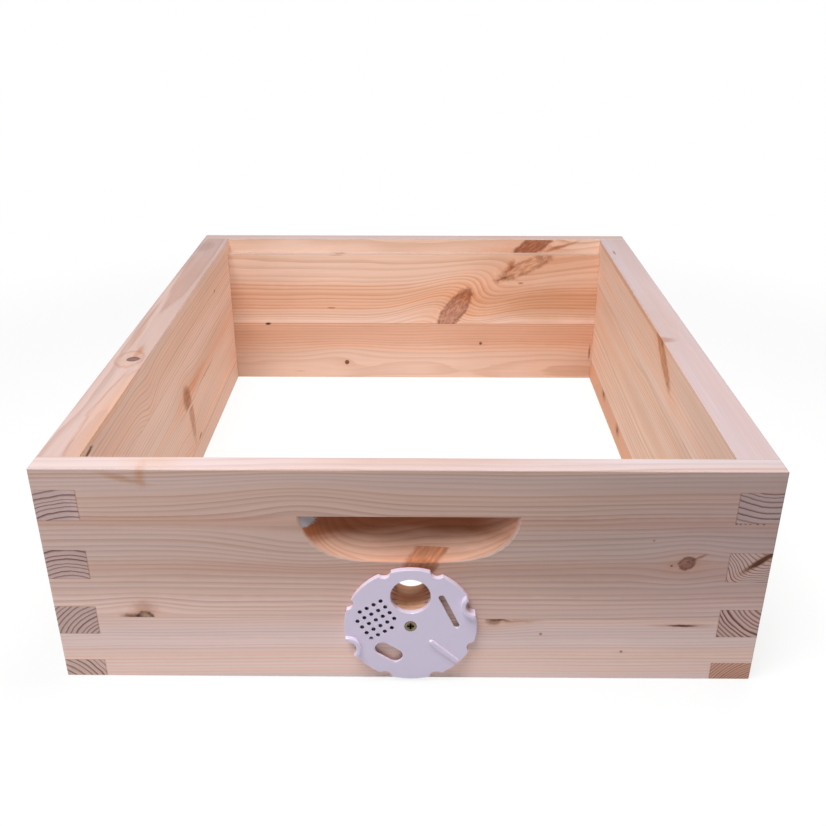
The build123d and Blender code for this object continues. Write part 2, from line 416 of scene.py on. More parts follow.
def knot_mask(bench, given, edge):
    """1 inside the rod, 0 outside."""
    outer = bench.math("ADD", 1.0, given["Soft"])
    inner = bench.math("SUBTRACT", 1.0, given["Soft"])
    return bench.soft_step(edge, outer, inner)


def knot_rings(bench, given, rod):
    """Streaks along the rod, and the branch's own year rings."""
    across = bench.scaled(rod.across, FIBRE_ACROSS)
    fibre_place = bench.vector("ADD", across, bench.scaled(rod.lengthways, FIBRE_ALONG))
    fibres = bench.noise(bench.vector("ADD", fibre_place, given["Centre"]), detail=3.0)
    streaks = bench.soft_step(fibres, STREAK_FROM, STREAK_FULL)
    warp = bench.math("MULTIPLY", rod.lobes, RING_WARP)
    growth = bench.math("MULTIPLY_ADD", rod.from_axis, 2 * pi / KNOT_RING, warp)
    rings = bench.between(bench.math("SINE", growth), *RING_SHADES)
    return bench.math("MULTIPLY_ADD", streaks, STREAK_SHARE, rings)


print("knot rings are", KNOT_RING, "mm apart")

# %% Grain around a knot
DRAWN_OUT = (0.5, 1.0, 1.0)
STAIN_REACH = 1.7


def nearness(bench, rod, reach):
    """1 on the rod's middle line, fading softly over a reach, and over twice as much along the board."""
    drawn_out = bench.measure("LENGTH", bench.vector("MULTIPLY", rod.across, DRAWN_OUT))
    far = bench.math("DIVIDE", drawn_out, reach)
    return bench.math("EXPONENT", bench.math("MULTIPLY", bench.math("MULTIPLY", far, far), -1.0))


def grain_shift(bench, given, rod):
    """How far the grain is pushed aside at a point."""
    pulled = bench.measure("DOT_PRODUCT", rod.away, given["Pull"])
    return bench.math("MULTIPLY", nearness(bench, rod, given["Reach"]), pulled)


def knot_stain(bench, given, rod):
    """The stain that a knot leaves in the wood around it."""
    return nearness(bench, rod, bench.math("MULTIPLY", given["Radius"], STAIN_REACH))


print("knot stains reach", STAIN_REACH, "times the radius")

# %% Knot group
CLOUD_SCALE = 0.22
CLOUD_FROM, CLOUD_FULL = 0.32, 0.58
THINNEST_SKIN, THINNEST_STAIN = 0.2, 0.5


def make_knot_group():
    """The group that gives a knot's masks and the shift of the grain around it."""
    bench, given, answer = new_group(
        "knot",
        {"Place": "place", "Centre": "place", "Axis": "place", "Radius": "number", "Soft": "number",
         "Skin": "number", "Low": "number", "High": "number", "Reach": "number", "Pull": "place"},
        {"Shift": "number", "Mask": "number", "Rings": "number", "Skin": "number", "Halo": "number"},
    )
    rod = find_rod(bench, given)
    up = bench.split(given["Place"])["Y"]
    above = bench.math("GREATER_THAN", up, given["Low"])
    below = bench.math("LESS_THAN", up, given["High"])
    window = bench.math("MULTIPLY", above, below)
    clouds = bench.noise(bench.scaled(given["Place"], CLOUD_SCALE))
    patchy = bench.soft_step(clouds, CLOUD_FROM, CLOUD_FULL)
    skin = bench.soft_step(rod.edge, bench.math("SUBTRACT", 1.0, given["Skin"]), 1.0)
    stain = bench.math("MULTIPLY", knot_stain(bench, given, rod), window)
    bench.feed(answer["Mask"], bench.math("MULTIPLY", knot_mask(bench, given, rod.edge), window))
    bench.feed(answer["Skin"], bench.math("MULTIPLY", skin, bench.between(patchy, THINNEST_SKIN, 1.0)))
    bench.feed(answer["Rings"], knot_rings(bench, given, rod))
    bench.feed(answer["Shift"], grain_shift(bench, given, rod))
    bench.feed(answer["Halo"], bench.math("MULTIPLY", stain, bench.between(patchy, THINNEST_STAIN, 1.0)))
    return bench.tree


knot_group = make_knot_group()
print("knot group has", len(knot_group.nodes), "nodes")

# %% [markdown]
# ## Stains and filler
# Sap stains, resin streaks and a dab of filler have no fixed outline. Each is an egg in the same solid
# measures, with a ragged and more or less soft edge. Made long and flat, the same egg is a darker band of
# the log, and a pale egg inside a dark one leaves a thin line. A mask could be painted, but an egg takes a
# few numbers and reaches round the corner of a board.

# %% Patch group
DRIFT_SCALE, DRIFT_REACH = 0.12, 5.0
WAVE_SCALE = 2.2


def make_patch_group():
    """The group that gives the mask of one egg."""
    bench, given, answer = new_group(
        "patch",
        {"Place": "place", "Centre": "place", "Size": "place", "Ragged": "number", "Soft": "number",
         "Slope": "number"},
        {"Mask": "number"},
    )
    away = bench.vector("SUBTRACT", given["Place"], given["Centre"])
    rise = bench.math("MULTIPLY", bench.split(away)["X"], given["Slope"])
    drift = bench.noise(bench.scaled(given["Place"], DRIFT_SCALE))
    drift = bench.centred(drift, bench.math("MULTIPLY", given["Ragged"], DRIFT_REACH))
    away = bench.vector("SUBTRACT", away, bench.join(0.0, bench.math("ADD", rise, drift), 0.0))
    away = bench.vector("DIVIDE", away, given["Size"])
    wave_place = bench.vector("ADD", bench.scaled(away, WAVE_SCALE), given["Centre"])
    wave = bench.centred(bench.noise(wave_place, detail=3.0))
    edge = bench.math("MULTIPLY_ADD", wave, given["Ragged"], bench.measure("LENGTH", away))
    outer = bench.math("ADD", 1.0, given["Soft"])
    inner = bench.math("SUBTRACT", 1.0, given["Soft"])
    bench.feed(answer["Mask"], bench.soft_step(edge, outer, inner))
    return bench.tree


patch_group = make_patch_group()
print("patch group has", len(patch_group.nodes), "nodes")

# %% [markdown]
# ## Pine
# Pine is a stack of cones of pale spring wood, each closed by a thin dark line of summer wood. A plank shows
# straight lines where its face is cut towards the middle of the log, and wide flames where it is cut along
# the bark. A stretched wave texture would give lines but not the arcs on the end grain that belong to them,
# so the rings are drawn round the log's real middle line, which may lie outside the board. Slow noise makes
# them wander, a chance number gives each year its own strength, and fine streaks stand for the fibres.

# %% Distance from the log's middle
SLOW_BEND = (0.0045, 0.016, 1.0)
SMALL_BEND = (0.016, 0.12, 2.0)
SLOW_REACH, SMALL_REACH = 2.0, 0.5
ACROSS_ONLY = (0.0, 1.0, 1.0)


def fibre_noise(bench, given, stretch, **settings):
    """Noise that is long along the fibres. A stretch is two scales, and a step that sets noises apart."""
    along, across, step = stretch
    scaled = bench.vector("MULTIPLY", given["Place"], (along, across, across))
    seed = bench.join(given["Seed"], given["Seed"], given["Seed"])
    return bench.noise(bench.vector("ADD", scaled, bench.scaled(seed, step)), **settings)


def log_radius(bench, given):
    """How far a point lies from the log's middle line, with slow and small wandering."""
    run = bench.split(given["Place"])["X"]
    middle = bench.vector("ADD", given["Pith"], bench.scaled(given["Lean"], run))
    out = bench.vector("MULTIPLY", bench.vector("SUBTRACT", given["Place"], middle), ACROSS_ONLY)
    slow_amount = bench.math("MULTIPLY", given["Wander"], SLOW_REACH)
    slow = bench.centred(fibre_noise(bench, given, SLOW_BEND), slow_amount)
    small_amount = bench.math("MULTIPLY", given["Ring Width"], SMALL_REACH)
    small = bench.centred(fibre_noise(bench, given, SMALL_BEND), small_amount)
    return bench.math("ADD", bench.measure("LENGTH", out), bench.math("ADD", slow, small))


print("small bends reach", SMALL_REACH / 2, "of a ring to each side")

# %% Years
UNEVEN_SCALE, UNEVEN_YEARS = 0.07, 3.0
RICH_SCALE, RICH_SLICE = 0.10, 7.0
SEED_YEARS = 17.3
SUMMER_FROM, SUMMER_FULL = 0.30, 0.92
YEAR_END = 0.95


@dataclass
class Years:
    """The place in the year, the dark summer wood, a chance number for each year, and rich or poor spells."""
    season: object
    close: object
    summer: object
    chance: object
    rich: object


def count_years(bench, given):
    """Count the years out from the log's middle. Their widths and strengths are uneven."""
    radius = log_radius(bench, given)
    uneven = bench.noise(bench.join(bench.math("MULTIPLY", radius, UNEVEN_SCALE), given["Seed"], 0.0))
    rings = bench.math("DIVIDE", radius, given["Ring Width"])
    years = bench.math("ADD", rings, bench.centred(uneven, UNEVEN_YEARS))
    season = bench.math("FRACT", years)
    year = bench.math("MULTIPLY_ADD", given["Seed"], SEED_YEARS, bench.math("FLOOR", years))
    chance = bench.node("ShaderNodeTexWhiteNoise", {"W": year}, noise_dimensions="1D").outputs["Value"]
    rich_place = bench.join(bench.math("MULTIPLY", radius, RICH_SCALE), given["Seed"], RICH_SLICE)
    rich = bench.noise(rich_place, detail=1.0)
    close = bench.soft_step(season, 1.0, YEAR_END)
    summer = bench.math("MULTIPLY", bench.soft_step(season, SUMMER_FROM, SUMMER_FULL), close)
    return Years(season, close, summer, chance, rich)


print("summer wood fills the year from", SUMMER_FROM, "on")

# %% Face and end colours
WARM = (1.02, 0.93, 0.85)
WARM_FROM, WARM_FULL = 0.42, 0.72
WEAK_YEAR, WEAK_END_YEAR = 0.40, 0.62
POOR_SPELL, RICH_SPELL = 0.40, 1.50
DASH_SHARE = 0.18
END_LINE = (0.18, 0.074, 0.062)
END_LINE_WIDTH = 0.4


def face_colour(bench, given, years, streak, dash):
    """Pale spring wood and summer lines, warmer in rich spells, with streaks and short dark dashes."""
    spell = bench.between(years.rich, POOR_SPELL, RICH_SPELL)
    strong = bench.math("MULTIPLY", bench.between(years.chance, WEAK_YEAR, 1.0), spell)
    lines = bench.math("MULTIPLY", bench.math("MULTIPLY", years.summer, strong), given["Contrast"])
    colour = bench.mix(lines, given["Pale"], given["Late"])
    colour = bench.tinted(bench.soft_step(years.rich, WARM_FROM, WARM_FULL), colour, WARM)
    colour = bench.mix(1.0, colour, streak, "MULTIPLY")
    return bench.mix(bench.math("MULTIPLY", dash, DASH_SHARE), colour, given["Late"])


def end_colour(bench, given, years, streak):
    """The sawn end of the board: a greyer ground with thin dark arcs."""
    full = bench.math("ADD", given["Dark From"], END_LINE_WIDTH)
    thin = bench.math("MULTIPLY", bench.soft_step(years.season, given["Dark From"], full), years.close)
    arcs = bench.math("MULTIPLY", thin, bench.between(years.chance, WEAK_END_YEAR, 1.0))
    ground = bench.mix(1.0, given["Pale"], given["Sawn"], "MULTIPLY")
    ground = bench.mix(1.0, ground, streak, "MULTIPLY")
    return bench.mix(arcs, ground, END_LINE)


print("end grain line colour", END_LINE)

# %% Pine group
FIBRES = (0.012, 0.9, 3.0)
HAIRS = (0.05, 3.0, 4.0)
ZONES = (0.005, 0.035, 5.0)
COARSE = 0.6
DASH_FROM, DASH_FULL = 0.66, 0.80
FIBRE_TONE, ZONE_TONE = 0.24, 0.22
PINE_ROUGHNESS = (0.54, 0.70)
SUMMER_SHINE = -0.08
RELIEF_SHARE = 0.5


def make_pine_group():
    """The group that gives pine's colour, roughness and relief at a point."""
    bench, given, answer = new_group(
        "pine",
        {"Place": "place", "End": "number", "Pith": "place", "Lean": "place", "Ring Width": "number",
         "Wander": "number", "Seed": "number", "Pale": "colour", "Late": "colour", "Sawn": "colour",
         "Contrast": "number", "Dark From": "number"},
        {"Colour": "colour", "Roughness": "number", "Height": "number"},
    )
    years = count_years(bench, given)
    fibre = fibre_noise(bench, given, FIBRES, detail=4.0, roughness=COARSE)
    hair = fibre_noise(bench, given, HAIRS, roughness=COARSE)
    dash = bench.soft_step(hair, DASH_FROM, DASH_FULL)
    zone = fibre_noise(bench, given, ZONES)
    tone = bench.math("ADD", bench.centred(fibre, FIBRE_TONE), bench.centred(zone, ZONE_TONE))
    tone = bench.math("ADD", 1.0, tone)
    streak = bench.join(tone, tone, tone)
    colour = face_colour(bench, given, years, streak, dash)
    colour = bench.mix(given["End"], colour, end_colour(bench, given, years, streak))
    bench.feed(answer["Colour"], colour)
    dull = bench.between(fibre, *PINE_ROUGHNESS)
    bench.feed(answer["Roughness"], bench.math("MULTIPLY_ADD", years.summer, SUMMER_SHINE, dull))
    relief = bench.math("MULTIPLY", bench.math("ADD", years.summer, fibre), RELIEF_SHARE)
    bench.feed(answer["Height"], bench.math("MULTIPLY_ADD", dash, -RELIEF_SHARE, relief))
    return bench.tree


pine_group = make_pine_group()
print("pine group has", len(pine_group.nodes), "nodes")

# %% [markdown]
# ## Staves
# Each stave was sawn from its own log, so each has its own middle line, ring width and tint. The values are
# read off the photograph: the end grain in the fingers shows where the log's middle lay, and the faces show
# how far apart the lines are. A stave is written as one small record, with its knots and patches, and one
# function turns the record into a finish. Measures are along, up and in, in millimetres. Each board could
# be painted on its own, but a record is quick to change when it is held against the photograph.

# %% Knot and patch records
FACE, INSIDE = 0.0, BOARD
NO_LIMIT = 1000.0


@dataclass
class Knot:
    """A branch foot: its centre and direction in board measures, its radius, and how it bends the grain."""
    centre: tuple
    radius: float
    axis: tuple = (0.0, 0.0, 1.0)
    heart: tuple = (0.42, 0.20, 0.12)
    rim: tuple = (0.15, 0.065, 0.04)
    strength: float = 1.0
    soft: float = 0.17
    skin: float = 0.35
    window: tuple = (-NO_LIMIT, NO_LIMIT)
    reach: float = 10.0
    part: float = 0.6
    drag: float = 0.0
    stain: float = 0.40


@dataclass
class Patch:
    """A stain, a darker band or a dab of filler: centre and half sizes in board measures, and its colour."""
    centre: tuple
    size: tuple
    tint: tuple
    strength: float = 1.0
    soft: float = 0.5
    ragged: float = 0.7
    slope: float = 0.0
    covers: bool = False


print("a plain knot bends the grain within", Knot.reach, "mm")

# %% Stave record
PIN_KNOT = (0.12, 0.055, 0.035)
WHOLE_BOARD = 900.0
BOARD_MIDDLE = 12.0


@dataclass
class Stave:
    """One board of a wall: where its log's middle lay, its rings, its colours, its knots and patches."""
    pith: tuple
    ring: float
    pale: tuple
    late: tuple
    lean: tuple = (0.0, 0.0)
    wander: float = 3.0
    contrast: float = 0.45
    sawn: tuple = (0.745, 0.72, 0.815)
    dark_from: float = 0.52
    # top: a tint for the rim, which is painted shade where the rim faces the lamps
    top: tuple = (0.97, 0.99, 1.06)
    rim_lines: float = 1.0
    # the fade darkens the board along its length: partly its tone, partly a painted falloff of the light
    fade: float = 0.0
    knots: list = field(default_factory=list)
    patches: list = field(default_factory=list)


def speck(along, up, radius, inwards=FACE, strength=0.85):
    """A pin knot: a dark dot that hardly bends the grain."""
    return Knot((along, up, inwards), radius, heart=PIN_KNOT, rim=PIN_KNOT, strength=strength, soft=0.3,
                reach=radius * 3, part=0.3, stain=0.3)


def band(up, half_height, tint, strength=1.0):
    """A darker or paler layer of the log that runs the whole length of a board."""
    half_sizes = (WHOLE_BOARD, half_height, WHOLE_BOARD)
    return Patch((0.0, up, BOARD_MIDDLE), half_sizes, tint, strength=strength, soft=0.6, ragged=0.9)


def tell(name):
    """Print how many knots and patches a stave has."""
    print(name, "has", len(staves[name].knots), "knots and", len(staves[name].patches), "patches")


staves = {}
print("a plain stave's lines have contrast", Stave.contrast)

# %% [markdown]
# ## The front wall
# The front is two boards, and the glue line between them cuts two knots about 45 mm above the bottom edge.
# The upper board is darker and a little rosier, and it slowly darkens from left to right, partly in its tone
# and partly as a painted falloff of the light. A row of torn fibres lies under a finger at the right. They
# could be cut into the model, but each is only about a millimetre wide, so a dark dot does. Bands and large
# soft eggs give the slow changes of tone, and the pale bands low on each board are partly painted light
# from the floor.

# %% Front stave 1
staves["front_stave_1"] = Stave(
    pith=(-62.0, 30.0), ring=2.3, pale=(0.97, 0.745, 0.70), late=(0.50, 0.29, 0.20),
    lean=(0.01, 0.0), wander=2.5, contrast=0.28, fade=0.03,
    knots=[
        Knot((52.0, 45.5, FACE), 4.2, axis=(0.45, 0.2, 0.87), heart=(0.46, 0.25, 0.17),
             rim=(0.24, 0.11, 0.075), strength=0.85, soft=0.45, reach=10.0, part=0.5, stain=0.6),
        speck(81.0, 34.0, 0.9, strength=0.55), speck(131.0, 21.0, 0.9, strength=0.65),
    ],
    patches=[
        Patch((166.0, 40.6, FACE), (7.5, 0.8, 3.0), (0.25, 0.13, 0.09), ragged=0.3),
        Patch((167.0, 40.8, FACE), (17.0, 1.2, 3.0), (0.80, 0.66, 0.58), soft=0.8, ragged=0.3),
        Patch((55.5, 44.2, FACE), (5.5, 0.8, 3.0), (0.45, 0.31, 0.25), soft=0.7),
        Patch((66.0, 43.6, FACE), (12.0, 1.2, 3.0), (0.82, 0.70, 0.62), soft=0.8),
        # The pale band at the bottom is partly painted light from the floor.
        band(4.0, 14.0, (1.10, 1.14, 1.17)), band(39.0, 9.0, (0.93, 0.93, 0.94)),
    ])
tell("front_stave_1")

# %% Front stave 2
ROSE = (0.685, 0.512, 0.468)
ROSE_LINE = (0.39, 0.205, 0.135)
REDDER = (0.96, 0.87, 0.83)
TORN = (0.40, 0.32, 0.29)
TORN_SPOTS = (187.9, 190.3, 193.0, 195.8, 200.0, 203.6)
staves["front_stave_2"] = Stave(
    pith=(-20.0, -90.0), ring=2.7, pale=ROSE, late=ROSE_LINE, lean=(0.012, 0.0), wander=3.2,
    contrast=0.42, top=(0.855, 0.90, 0.96), fade=0.14,
    knots=[
        Knot((-158.5, 44.5, FACE), 4.8, axis=(0.45, 0.1, 0.89), heart=(0.42, 0.26, 0.17),
             rim=(0.09, 0.045, 0.03), skin=0.65, reach=13.0, part=0.7, stain=0.5),
        Knot((163.0, 85.5, FACE), 4.4, axis=(0.50, 0.30, 0.81), heart=(0.36, 0.175, 0.135),
             rim=(0.20, 0.09, 0.06), reach=12.0, part=0.75, stain=0.5),
        Knot((11.8, 88.0, 5.0), 8.2, axis=(0.55, 0.68, 0.55), heart=(0.57, 0.265, 0.145),
             rim=(0.33, 0.13, 0.07), strength=0.85, soft=0.2, window=(-NO_LIMIT, 91.7), reach=14.0,
             part=0.3, stain=0.4),
        Knot((-58.0, 110.0, 6.0), 7.0, strength=0.0, reach=22.0, part=0.85, stain=0.0),
        speck(142.3, 100.9, 0.8, strength=0.35), speck(154.4, 83.7, 0.7, strength=0.7),
    ],
    patches=[
        Patch((-166.0, 45.6, FACE), (5.5, 1.6, 3.0), (0.34, 0.23, 0.18), soft=0.8),
        Patch((-158.0, 51.0, FACE), (6.0, 5.0, 4.0), (0.76, 0.66, 0.60), soft=0.9),
        Patch((170.0, 89.3, FACE), (3.5, 0.9, 3.0), (0.62, 0.46, 0.38), soft=0.8, slope=0.5),
        Patch((-149.5, 142.0, FACE), (2.4, 5.5, 8.0), (0.90, 0.71, 0.54), strength=0.9, soft=1.0,
              ragged=1.4),
        Patch((-159.0, 140.0, FACE), (11.0, 1.7, 5.0), (0.85, 0.70, 0.56), strength=0.9, soft=0.8,
              slope=-0.25),
        Patch((-143.0, TOP, 12.0), (14.0, 3.0, 9.0), (0.98, 0.86, 0.72), strength=0.7, soft=0.8),
        Patch((10.0, TOP, 10.5), (70.0, 3.0, 4.0), (0.98, 0.84, 0.72), strength=0.7, soft=0.8),
        band(112.0, 4.0, REDDER), band(80.0, 5.0, REDDER, strength=0.8), band(66.0, 7.0, (1.07, 1.07, 1.08)),
        # The pale band low on this board is partly painted light from the floor.
        band(49.0, 11.0, (1.23, 1.31, 1.41)),
        Patch((225.0, TOP, 12.0), (125.0, 3.0, 16.0), (1.17, 1.23, 1.27), soft=0.9),
        Patch((-220.0, TOP, 12.0), (60.0, 3.0, 16.0), (0.94, 0.95, 0.94), soft=0.9),
        Patch((9.0, 81.5, FACE), (7.5, 4.0, 2.5), (0.64, 0.52, 0.45), soft=0.6),
        Patch((-35.0, 86.0, FACE), (120.0, 34.0, 4.0), (1.0, 0.955, 0.92), soft=0.9),
        Patch((205.0, 96.0, FACE), (55.0, 52.0, 4.0), (1.09, 1.07, 1.13), soft=0.9),
        *[Patch((along, 112.3, FACE), (0.6, 0.6, 3.0), TORN, ragged=0.4) for along in TORN_SPOTS],
    ])
tell("front_stave_2")

# %% [markdown]
# ## The back wall
# The back shows its inner face. Its boards meet about 60 mm above the bottom edge, where a small black knot
# was cut through, so each board has a piece of it. A thick branch left a large red knot in the upper board.
# Another branch shows on the inner face and again on the lip behind the rest. A single rod could cross both,
# but it would not come out at the right place on each, so it is two knots, each with a window of height.

# %% Back stave 1
PITCH_BLACK = (0.13, 0.085, 0.075)
staves["back_stave_1"] = Stave(
    pith=(8.0, 66.0), ring=2.0, pale=(0.77, 0.535, 0.42), late=(0.50, 0.25, 0.13), wander=4.6,
    contrast=0.45,
    knots=[
        speck(70.2, 38.7, 1.6, INSIDE),
        Knot((-70.5, 17.0, INSIDE), 2.3, heart=(0.20, 0.085, 0.05), rim=(0.15, 0.06, 0.04), reach=16.0,
             part=0.8, stain=0.3),
    ],
    patches=[
        band(48.0, 12.0, (0.96, 0.80, 0.71)),
        Patch((-151.5, 59.6, INSIDE), (2.8, 1.2, 3.0), PITCH_BLACK, ragged=0.4),
        Patch((185.0, 29.0, INSIDE), (0.9, 7.0, 3.0), (0.50, 0.36, 0.29), soft=0.7),
        # Painted shade and light: the two ends of the wall are darker by the corners, and its middle is
        # lighter.
        Patch((165.0, 30.0, INSIDE), (90.0, 45.0, 20.0), (0.90, 0.82, 0.77), soft=0.9),
        Patch((-190.0, 25.0, INSIDE), (75.0, 45.0, 20.0), (0.91, 0.87, 0.84), soft=0.9),
        Patch((-10.0, 30.0, INSIDE), (100.0, 35.0, 20.0), (1.07, 1.06, 1.08), soft=0.9),
    ])
tell("back_stave_1")

# %% Back stave 2
HONEY = (0.86, 0.582, 0.453)
HONEY_LINE = (0.56, 0.26, 0.125)
staves["back_stave_2"] = Stave(
    pith=(134.0, 62.0), ring=3.0, pale=HONEY, late=HONEY_LINE, wander=3.8, contrast=0.58,
    top=(0.68, 0.795, 1.0),
    knots=[
        Knot((42.0, 75.0, INSIDE), 10.2, axis=(0.56, 0.73, -0.38), heart=(0.59, 0.29, 0.195),
             rim=(0.31, 0.125, 0.072), skin=0.5, reach=22.0, part=0.2, drag=0.55, stain=0.6),
        Knot((120.0, 139.0, LIP), 8.5, axis=(0.80, 0.52, -0.30), heart=(0.46, 0.18, 0.10),
             rim=(0.27, 0.10, 0.055), window=(TOP_STEP, 145.4), reach=18.0, part=0.3, drag=0.30,
             stain=0.6),
        Knot((112.5, 120.0, INSIDE), 6.8, axis=(0.88, 0.42, -0.24), heart=(0.77, 0.43, 0.275),
             rim=(0.32, 0.13, 0.075), strength=0.9, soft=0.3, skin=0.5, window=(-NO_LIMIT, TOP_STEP),
             reach=18.0, part=0.3, drag=0.30, stain=0.5),
    ],
    patches=[
        Patch((-151.5, 60.3, INSIDE), (2.3, 0.8, 3.0), PITCH_BLACK, ragged=0.4),
        Patch((-85.0, 77.0, INSIDE), (3.8, 0.5, 3.0), (0.46, 0.31, 0.24), ragged=0.3),
        Patch((-78.0, 132.0, 20.0), (9.0, 0.6, 6.0), (0.62, 0.47, 0.38), strength=0.8, ragged=0.3),
        Patch((150.0, 82.0, INSIDE), (75.0, 18.0, 20.0), (0.79, 0.69, 0.60), soft=0.8),
        Patch((53.0, 90.0, INSIDE), (7.0, 6.0, 6.0), (1.04, 0.86, 0.66), strength=0.8, soft=0.8),
        Patch((148.0, 138.5, LIP), (14.0, 1.6, 6.0), (0.60, 0.41, 0.31), soft=0.8, slope=0.28),
        Patch((97.5, 121.0, INSIDE), (4.0, 5.0, 4.0), (0.70, 0.50, 0.38), soft=0.8, ragged=1.4,
              slope=0.8),
        Patch((92.0, 109.0, INSIDE), (9.0, 1.2, 3.0), (0.62, 0.42, 0.32), soft=0.8, ragged=1.2,
              slope=0.30),
        Patch((109.0, 103.5, INSIDE), (2.2, 1.0, 3.0), (0.58, 0.38, 0.27), soft=0.8),
        band(64.0, 4.0, (1.02, 1.07, 1.11)), band(90.0, 11.0, (0.96, 0.89, 0.83)),
        Patch((-115.0, 126.0, INSIDE), (95.0, 17.0, 20.0), (1.06, 1.12, 1.16), soft=0.9),
        Patch((155.0, 122.0, INSIDE), (75.0, 22.0, 20.0), (0.88, 0.80, 0.73), soft=0.9),
        # Painted shade by the left corner.
        Patch((-200.0, 88.0, INSIDE), (65.0, 40.0, 20.0), (0.84, 0.81, 0.79), soft=0.9),
        Patch((0.0, 140.0, LIP), (300.0, 9.0, 6.0), (1.03, 1.08, 1.11), soft=0.3, ragged=0.2),
        Patch((185.0, 140.0, LIP), (34.0, 9.0, 6.0), (1.08, 1.19, 1.26), soft=0.6, ragged=0.4),
    ])
tell("back_stave_2")

# %% [markdown]
# ## The left wall
# Four boards, seen from inside and on the rim. The rim has an eye round a knot and long flames beside it.
# Rings that give such a figure would have to be found by trial, so each outline is a pair of eggs that lie
# one in the other: a dark one, and a slightly smaller pale one that takes the dark away again inside.

# %% Left stave 1
staves["left_stave_1"] = Stave(
    pith=(-22.0, -16.0), ring=3.0, pale=(0.91, 0.63, 0.50), late=(0.50, 0.27, 0.17), contrast=0.36,
    sawn=(0.94, 0.97, 1.08))
tell("left_stave_1")

# %% Left stave 2
staves["left_stave_2"] = Stave(
    pith=(12.0, 42.0), ring=2.7, pale=(0.93, 0.645, 0.505), late=(0.46, 0.24, 0.15), contrast=0.38,
    sawn=(0.76, 0.78, 0.91),
    knots=[
        Knot((19.5, 57.5, INSIDE), 7.0, axis=(-0.18, 0.95, -0.24), heart=(0.65, 0.315, 0.20),
             rim=(0.46, 0.21, 0.125), strength=0.9, soft=0.4, window=(-NO_LIMIT, 59.5), reach=16.0,
             part=0.3, stain=0.4),
    ],
    patches=[Patch((42.5, 21.5, INSIDE), (5.5, 1.4, 3.0), (0.48, 0.36, 0.30), soft=0.7)])
tell("left_stave_2")

# %% Left stave 3
staves["left_stave_3"] = Stave(
    pith=(49.0, 14.0), ring=2.9, pale=(0.95, 0.695, 0.575), late=(0.42, 0.22, 0.15), contrast=0.36,
    knots=[
        Knot((11.5, 69.5, INSIDE), 9.4, axis=(-0.45, 0.62, -0.65), heart=(0.58, 0.26, 0.135),
             rim=(0.38, 0.145, 0.075), strength=1.0, soft=0.45, reach=20.0, part=0.5, stain=0.8),
    ],
    patches=[
        Patch((130.0, 76.0, INSIDE), (135.0, 11.0, 5.0), (0.94, 0.82, 0.73), strength=0.9, soft=0.8),
        Patch((45.0, 75.0, INSIDE), (36.0, 4.5, 5.0), (0.92, 0.72, 0.57), strength=0.9, soft=0.8),
        Patch((85.0, 64.5, INSIDE), (28.0, 1.3, 4.0), (0.76, 0.58, 0.48), strength=0.8, soft=0.8),
        Patch((0.0, 102.0, INSIDE), (260.0, 14.0, 5.0), (1.07, 1.06, 1.07), strength=0.9, soft=0.6),
    ])
tell("left_stave_3")

# %% Left stave 4
staves["left_stave_4"] = Stave(
    pith=(73.0, 22.0), ring=2.9, pale=(0.96, 0.72, 0.61), late=(0.46, 0.24, 0.15), wander=4.0,
    contrast=0.40, top=(0.585, 0.565, 0.61),
    knots=[
        Knot((-90.0, TOP, 16.0), 4.6, axis=(0.1, 0.99, 0.0), heart=(0.36, 0.20, 0.17),
             rim=(0.13, 0.06, 0.05), reach=12.0, part=0.4, stain=0.5),
        speck(154.0, 119.0, 1.6, INSIDE, strength=0.6),
    ],
    patches=[
        Patch((-190.0, TOP, INSIDE), (84.0, 6.0, 12.5), (0.85, 0.67, 0.54), strength=0.9, soft=0.08,
              ragged=0.5),
        Patch((-190.0, TOP, INSIDE), (80.0, 6.0, 11.0), (1.17, 1.36, 1.54), strength=0.9, soft=0.12,
              ragged=0.5),
        Patch((-190.0, TOP, INSIDE), (70.0, 4.0, 6.0), (0.99, 0.89, 0.78), strength=0.9, soft=0.6,
              ragged=1.0),
        Patch((-90.0, TOP, 13.5), (17.0, 5.0, 9.8), (0.88, 0.78, 0.71), strength=0.9, soft=0.08,
              ragged=0.5),
        Patch((-90.0, TOP, 13.5), (13.5, 5.0, 8.2), (1.16, 1.31, 1.42), strength=0.9, soft=0.12,
              ragged=0.5),
        Patch((-45.0, TOP, 7.0), (28.0, 5.0, 1.5), (0.88, 0.73, 0.60), strength=0.9, soft=0.6,
              ragged=0.4),
        Patch((0.0, TOP, 5.0), (38.0, 5.0, 1.2), (0.78, 0.67, 0.60), strength=0.9, soft=0.6, ragged=0.4),
        Patch((-76.0, TOP, 16.5), (11.0, 4.0, 2.2), (0.86, 0.66, 0.52), soft=0.8),
        Patch((170.0, TOP, 13.0), (150.0, 6.0, 9.5), (0.82, 0.71, 0.68), strength=0.9, soft=0.07,
              ragged=0.4),
        Patch((173.0, TOP, 13.0), (144.0, 6.0, 8.0), (1.08, 1.11, 1.11), strength=0.9, soft=0.15,
              ragged=0.4),
        Patch((115.0, TOP, 12.0), (180.0, 3.0, 20.0), (0.955, 0.945, 0.92), soft=0.9),
        Patch((205.0, TOP, 13.0), (48.0, 5.0, 15.0), (1.05, 1.12, 1.18), strength=0.9, soft=0.7,
              ragged=0.8),
        Patch((212.0, TOP, 7.0), (18.0, 5.0, 8.0), (0.84, 0.81, 0.83), strength=0.9, soft=0.5,
              ragged=1.0),
        Patch((-226.0, 141.0, INSIDE), (7.0, 1.2, 3.0), (0.20, 0.13, 0.10)),
        Patch((0.0, 131.0, INSIDE), (300.0, 12.0, 4.0), (0.99, 0.93, 0.88), strength=0.9, soft=0.6),
        Patch((-190.0, 125.0, INSIDE), (110.0, 22.0, 5.0), (1.12, 1.13, 1.14), strength=0.9, soft=0.8),
    ])
tell("left_stave_4")

